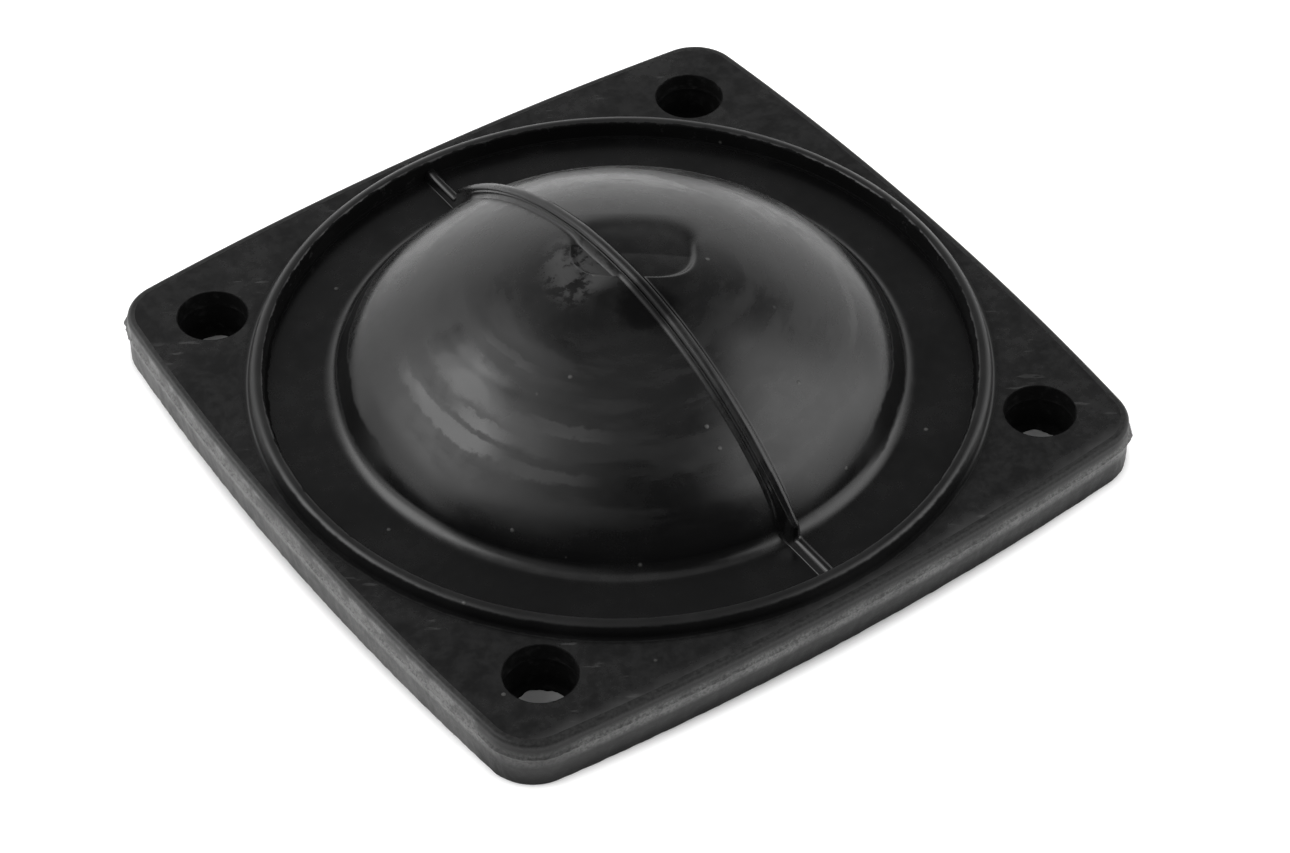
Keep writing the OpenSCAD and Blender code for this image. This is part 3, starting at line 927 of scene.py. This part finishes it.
def rubber_material():
    """Moulded black rubber: glossy on the dome's clean marks, hazy between them, dusty on the face."""
    material, n = new_material("rubber", RubberNodes)
    clean, smeared, dull, hazy = flow_masks(n)
    dark = dark_feet_mask(n)
    stained = stain_mask(n)
    rubbed = rubbed_mask(n)
    speck = speck_mask(n)
    on_ring = n.span(n.away(n.radius, (RING_IN + RING_OUT) / 2 + 0.2), 1.1, 0.7)
    by_bead = n.product(n.span(n.size(n.x), BEAD_W, BEAD_W / 2), n.span(n.radius, 20.0, 12.0))

    pale = n.weighed(
        (hazy, 0.06), (dust_and_highlight_mask(n), 0.115), (smeared, 0.26), (scuff_mask(n), 0.4),
        (rubbed, 0.3), (stained, 0.45),
    )
    colour = n.blend(pale, RUBBER_BLACK, RUBBER_DUST_AND_HIGHLIGHT)
    colour = n.blend(speck, colour, LINT)

    rough = n.weighed(
        (hazy, 0.08), (dull, 0.16), (stained, 0.16), (on_ring, 0.1), (by_bead, 0.16),
        (n.span(n.mottle, 0.35, 0.7), 0.05), (rubbed, 0.2), (speck, 0.2), (dark, 0.4),
    )
    rough = n.total(n.span(n.cloud, 0.3, 0.7, 0.2, 0.26), rough)
    rough = n.between(clean, rough, CLEAN_ROUGHNESS)
    # Less gleam in the patch in front of the imprint paints its shade, as at the dark feet.
    gleam = n.product(n.span(dark, 0.0, 1.0, 0.5, 0.06), n.span(shade_patch_mask(n), 0.0, 1.0, 1.0, 0.3))

    normal = n.bump(n.noise(n.place, 6.5, 1.0), 0.02)
    normal = n.bump(n.noise(n.place, 1.3, 2.0), 0.003, normal)
    normal = n.bump(n.noise(n.place, 0.35, 3.0, 0.6), 0.0016, normal)
    normal = n.bump(speck, 0.03, normal)
    sheen = n.span(n.cloud, 0.3, 0.7, 0.01, 0.03)
    n.surface(colour, rough, normal, Specular_IOR_Level=gleam, Sheen_Weight=sheen, Sheen_Roughness=0.4)
    return material


def back_material():
    """The rubber behind the flange and in the hollow: black, evenly hazy with talc, without marks."""
    material, n = new_material("rubber_back")
    place = n.place_mm()
    cloud = n.noise(place, 6.0, 3.0)
    mottle = n.noise(place, 1.2, 4.0, 0.65)
    haze = n.product(n.span(cloud, 0.35, 0.7, 0.3, 1.0), n.span(mottle, 0.3, 0.7, 0.4, 1.0))
    colour = n.blend(haze, BACK_BLACK, TALC_GREY)
    rough = n.total(n.span(cloud, 0.3, 0.7, 0.26, 0.34), n.product(haze, 0.1))
    normal = n.bump(n.noise(place, 5.0, 1.0), 0.02)
    normal = n.bump(mottle, 0.004, normal)
    n.surface(colour, rough, normal)
    return material


def trimmed_material():
    """The flange's edge: a pale matt band where the flash was ground off, and paler in patches all over on
    the -X side, which is painted light on the side that faces the left lamp.
    """
    material, n = new_material("rubber_trimmed")
    place = n.place_mm()
    x, y, z = n.split(place)
    patch = n.noise(place, 2.5, 4.0, 0.6)
    grain = n.noise(place, 0.3, 3.0, 0.65)
    # On the -X side the edge is painted paler in patches: painted light from the left lamp.
    on_left = n.product(n.span(x, -31.0, -34.0), n.span(y, -32.0, -26.0))

    # The band is weaker at the corner between the -X and -Y sides: painted shade at that corner
    towards_corner = n.less(n.product(n.total(x, y), -1.0), 2 * HALF_W)
    strength = n.weighed((on_left, 0.4), (n.span(towards_corner, -10.0, -6.5, 1.0, 0.45), 0.75))
    band = n.product(n.span(z, 2.0, 2.9), n.span(z, 4.7, 3.4), n.span(patch, 0.3, 0.65, 0.55, 1.0), strength)

    lit_top_on_left = n.product(on_left, n.span(z, FLANGE_T - 0.02, FLANGE_T - 0.3))
    lit_top_on_left = n.product(lit_top_on_left, n.span(patch, 0.3, 0.7, 0.14, 0.42))
    lit_band_on_left = n.product(on_left, n.span(n.away(z, 4.3), 0.8, 0.3), n.span(patch, 0.4, 0.6, 0.15, 0.9))
    dusty = n.span(z, 4.0, 5.0, 0.03, 0.09)
    pale = n.product(n.most(band, lit_band_on_left, lit_top_on_left, dusty), n.span(grain, 0.3, 0.7, 0.45, 1.45))
    colour = n.blend(pale, BACK_BLACK, EDGE_WORN_AND_LIT)
    rough = n.span(grain, 0.3, 0.7, 0.42, 0.55)
    # The gleam falls towards the floor: painted shade low on the wall, where the floor beside it lies in
    # shadow.
    gleam = n.product(n.span(z, 0.0, 2.6, 0.12, 0.45), n.span(z, 3.2, 4.4, 1.0, 0.6))
    gleam = n.most(gleam, n.product(on_left, 0.5))
    normal = n.bump(patch, 0.02)
    normal = n.bump(grain, 0.02, normal)
    n.surface(colour, rough, normal, Specular_IOR_Level=gleam)
    return material


def bore_material():
    """The bolt holes' walls: dull black, without gloss, a little paler where grit sticks to them."""
    material, n = new_material("rubber_bore")
    grit = n.noise(n.place_mm(), 0.8, 3.0, 0.6)
    colour = n.blend(n.span(grit, 0.5, 0.75), BORE_BLACK, TALC_GREY)
    rough = n.span(grit, 0.3, 0.7, 0.5, 0.7)
    normal = n.bump(grit, 0.02)
    n.surface(colour, rough, normal, Specular_IOR_Level=0.06)
    return material


def steel_material():
    """Zinc-plated steel: pale grey with a slight blue, dulled in patches."""
    material, n = new_material("zinc_plate")
    place = n.place_mm()
    patch = n.noise(place, 1.8, 3.0)
    colour = n.blend(n.span(patch, 0.35, 0.7), ZINC_BRIGHT, ZINC_DULL)
    rough = n.span(patch, 0.3, 0.7, 0.26, 0.46)
    normal = n.bump(n.noise(place, 0.12, 2.0, 0.6), 0.003)
    n.surface(colour, rough, normal, Metallic=1.0)
    return material


# Studio

def make_camera():
    back = direction(CAMERA_AZIMUTH - 90, CAMERA_ELEVATION)
    right = direction(CAMERA_AZIMUTH, 0)
    up = back.cross(right)
    turn = Matrix.Rotation(math.radians(CAMERA_ROLL), 3, back)
    right = turn @ right
    up = turn @ up
    data = bpy.data.cameras.new("camera")
    data.sensor_width = SENSOR_MM
    data.lens = CAMERA_FOCAL_PX / PHOTO_WIDTH_PX * SENSOR_MM
    data.clip_start = 0.01
    data.clip_end = 20
    camera = bpy.data.objects.new("camera", data)
    bpy.context.scene.collection.objects.link(camera)
    pose = Matrix((right, up, back)).transposed().to_4x4()
    pose.translation = (back * CAMERA_DISTANCE + right * CAMERA_SHIFT_RIGHT + up * CAMERA_SHIFT_UP) * MM
    camera.matrix_world = pose
    bpy.context.scene.camera = camera


def make_world():
    """Studio surroundings: a white wall behind the object, soft glows above and beside it, dark elsewhere."""
    world = bpy.data.worlds.new("studio")
    world.use_nodes = True
    bpy.context.scene.world = world
    n = Nodes(world.node_tree)
    ray = n.add("ShaderNodeTexCoord").outputs["Generated"]

    def towards(azimuth, elevation):
        """Cosine of the angle between the ray and a direction."""
        dot = n.add("ShaderNodeVectorMath", {"operation": "DOT_PRODUCT"})
        n.feed(dot.inputs[0], ray)
        dot.inputs[1].default_value = direction(azimuth, elevation)
        return dot.outputs["Value"]

    behind = n.span(towards(CAMERA_AZIMUTH + 90, 0), 0.1, 0.6)
    low = n.span(n.split(ray)[2], 0.62, 0.3)
    level = n.total(n.product(behind, low, WALL_LIGHT), EVEN_LIGHT)
    for azimuth, elevation, start, full, strength in GLOWS:
        level = n.total(level, n.span(towards(azimuth, elevation), start, full, 0.0, strength))
    seen = n.most(level, n.add("ShaderNodeLightPath").outputs["Is Camera Ray"])
    background = n.add("ShaderNodeBackground", Strength=seen)
    background.inputs["Color"].default_value = (1, 1, 1, 1)
    n.end(background, "ShaderNodeOutputWorld")


def make_lamp(name, azimuth, elevation, size, level, mirrored):
    """A rectangular soft light, brightest in its middle."""
    towards = direction(azimuth, elevation)
    for number, (scale, share) in enumerate(LAMP_LAYERS):
        data = bpy.data.lights.new(f"{name}_{number}", "AREA")
        data.shape = "RECTANGLE"
        data.size = size[0] * scale
        data.size_y = size[1] * scale
        data.energy = level * share * math.pi * data.size * data.size_y
        light = bpy.data.objects.new(data.name, data)
        bpy.context.scene.collection.objects.link(light)
        light.location = towards * (LAMP_DISTANCE + 0.001 * number)
        light.rotation_mode = "QUATERNION"
        light.rotation_quaternion = towards.to_track_quat("Z", "Y")
        light.visible_glossy = mirrored


def outside_flange(n):
    """How far a place on the floor lies outside the flange's outline, in millimetres."""
    x, y = [n.size(part) for part in n.split(n.place_mm())[:2]]
    corner = HALF_W - SIDE_BOW - CORNER_R
    past_x = n.most(n.less(x, corner), 0.0)
    past_y = n.most(n.less(y, corner), 0.0)
    share = n.math("DIVIDE", n.math("MINIMUM", n.math("MINIMUM", x, y), corner), corner)
    bow = n.product(n.less(1.0, n.product(share, share)), SIDE_BOW)
    return n.less(n.less(n.length(past_x, past_y), bow), CORNER_R)


def make_floor():
    """White paper, painted darker under the object as shade. Its glow, which keeps the background white,
    fades out under the object and beside it, and so paints the object's contact shadow.
    """
    bpy.ops.mesh.primitive_plane_add(size=6, location=(0, 0, 0))
    floor = bpy.context.object
    floor.name = "floor"
    material, n = new_material("white_paper")
    path = n.add("ShaderNodeLightPath").outputs
    seen = n.most(path["Is Camera Ray"], path["Is Glossy Ray"], path["Is Transmission Ray"])
    outside = outside_flange(n)
    # The paper is painted darker under the object: painted shade.
    colour = n.blend(n.span(outside, -2.0, 0.0), PAPER_PAINTED_SHADE, PAPER)
    paper = n.add("ShaderNodeBsdfDiffuse", Color=colour)
    # The glow fades out close beside the outline: a painted contact shadow.
    glow = n.add("ShaderNodeEmission", Strength=n.product(seen, n.span(outside, -0.3, 1.4), PAPER_GLOW))
    both = n.add("ShaderNodeAddShader")
    n.tree.links.new(paper.outputs[0], both.inputs[0])
    n.tree.links.new(glow.outputs[0], both.inputs[1])
    n.end(both)
    floor.data.materials.append(material)


make_camera()
make_world()
for lamp in LAMPS:
    make_lamp(*lamp)
make_floor()
make_rubber(rubber_material(), back_material(), trimmed_material(), bore_material())
make_stud(steel_material())
bpy.context.scene.view_settings.view_transform = "Standard"
